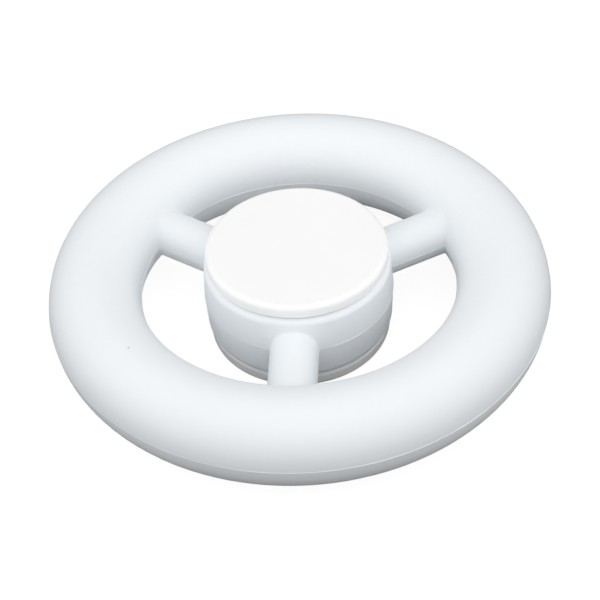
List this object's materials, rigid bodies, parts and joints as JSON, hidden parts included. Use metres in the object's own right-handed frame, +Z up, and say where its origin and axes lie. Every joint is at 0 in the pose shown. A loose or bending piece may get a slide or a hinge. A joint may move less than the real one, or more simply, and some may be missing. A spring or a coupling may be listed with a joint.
{
  "type": "ring-shaped hand spinner",
  "caption": "White ring on three round spokes that turns on a ball bearing between two flat finger caps.",
  "frame": {"origin": "centre of the bearing, which is the middle of the whole part, on the spin axis and on the plane of the shells' seam", "axes": "+Z up along the spin axis, out of the upper finger cap; one spoke along -Y, the other two at 30 and 150 degrees from +X"},
  "size_m": [0.0698, 0.0698, 0.015],
  "materials": {
    "shell_plastic": "matte white, cool",
    "cap_plastic": "satin white, neutral",
    "bearing_steel": "ground",
    "shield_steel": "pressed sheet, satin",
    "spring_steel": "drawn wire",
    "cage_steel": "pressed sheet",
    "ball_steel": "polished"
  },
  "bodies": {
    "finger_hub": {"upper_finger_cap": "cap_plastic", "lower_finger_cap": "cap_plastic", "bearing_inner_race": "bearing_steel"},
    "spinner": {"upper_shell": "shell_plastic", "lower_shell": "shell_plastic", "bearing_outer_race": "bearing_steel", "upper_dust_shield": "shield_steel", "lower_dust_shield": "shield_steel", "upper_snap_ring": "spring_steel", "lower_snap_ring": "spring_steel"},
    "cage": {"upper_cage_half": "cage_steel", "lower_cage_half": "cage_steel", "cage_rivets": "cage_steel"},
    "ball_1": {"bearing_ball_1": "ball_steel"},
    "ball_2": {"bearing_ball_2": "ball_steel"},
    "ball_3": {"bearing_ball_3": "ball_steel"},
    "ball_4": {"bearing_ball_4": "ball_steel"},
    "ball_5": {"bearing_ball_5": "ball_steel"},
    "ball_6": {"bearing_ball_6": "ball_steel"},
    "ball_7": {"bearing_ball_7": "ball_steel"}
  },
  "joints": [
    {"name": "spinner_spin", "type": "hinge", "parent": "finger_hub", "child": "spinner", "pos_m": [0, 0, 0], "axis": [0, 0, 1], "continuous": true},
    {"name": "cage_orbit", "type": "hinge", "parent": "finger_hub", "child": "cage", "pos_m": [0, 0, 0], "axis": [0, 0, 1], "continuous": true},
    {"name": "ball_1_spin", "type": "hinge", "parent": "cage", "child": "ball_1", "pos_m": [0.0075, 0, 0], "axis": [0, 0, 1], "continuous": true},
    {"name": "ball_2_spin", "type": "hinge", "parent": "cage", "child": "ball_2", "pos_m": [0.00468, 0.00586, 0], "axis": [0, 0, 1], "continuous": true},
    {"name": "ball_3_spin", "type": "hinge", "parent": "cage", "child": "ball_3", "pos_m": [-0.00167, 0.00731, 0], "axis": [0, 0, 1], "continuous": true},
    {"name": "ball_4_spin", "type": "hinge", "parent": "cage", "child": "ball_4", "pos_m": [-0.00676, 0.00325, 0], "axis": [0, 0, 1], "continuous": true},
    {"name": "ball_5_spin", "type": "hinge", "parent": "cage", "child": "ball_5", "pos_m": [-0.00676, -0.00325, 0], "axis": [0, 0, 1], "continuous": true},
    {"name": "ball_6_spin", "type": "hinge", "parent": "cage", "child": "ball_6", "pos_m": [-0.00167, -0.00731, 0], "axis": [0, 0, 1], "continuous": true},
    {"name": "ball_7_spin", "type": "hinge", "parent": "cage", "child": "ball_7", "pos_m": [0.00468, -0.00586, 0], "axis": [0, 0, 1], "continuous": true}
  ],
  "couplings": [
    {"joint": "cage_orbit", "follows": "spinner_spin", "ratio": 0.63227},
    {"joint": "ball_1_spin", "follows": "spinner_spin", "ratio": 1.7578},
    {"joint": "ball_2_spin", "follows": "spinner_spin", "ratio": 1.7578},
    {"joint": "ball_3_spin", "follows": "spinner_spin", "ratio": 1.7578},
    {"joint": "ball_4_spin", "follows": "spinner_spin", "ratio": 1.7578},
    {"joint": "ball_5_spin", "follows": "spinner_spin", "ratio": 1.7578},
    {"joint": "ball_6_spin", "follows": "spinner_spin", "ratio": 1.7578},
    {"joint": "ball_7_spin", "follows": "spinner_spin", "ratio": 1.7578}
  ]
}
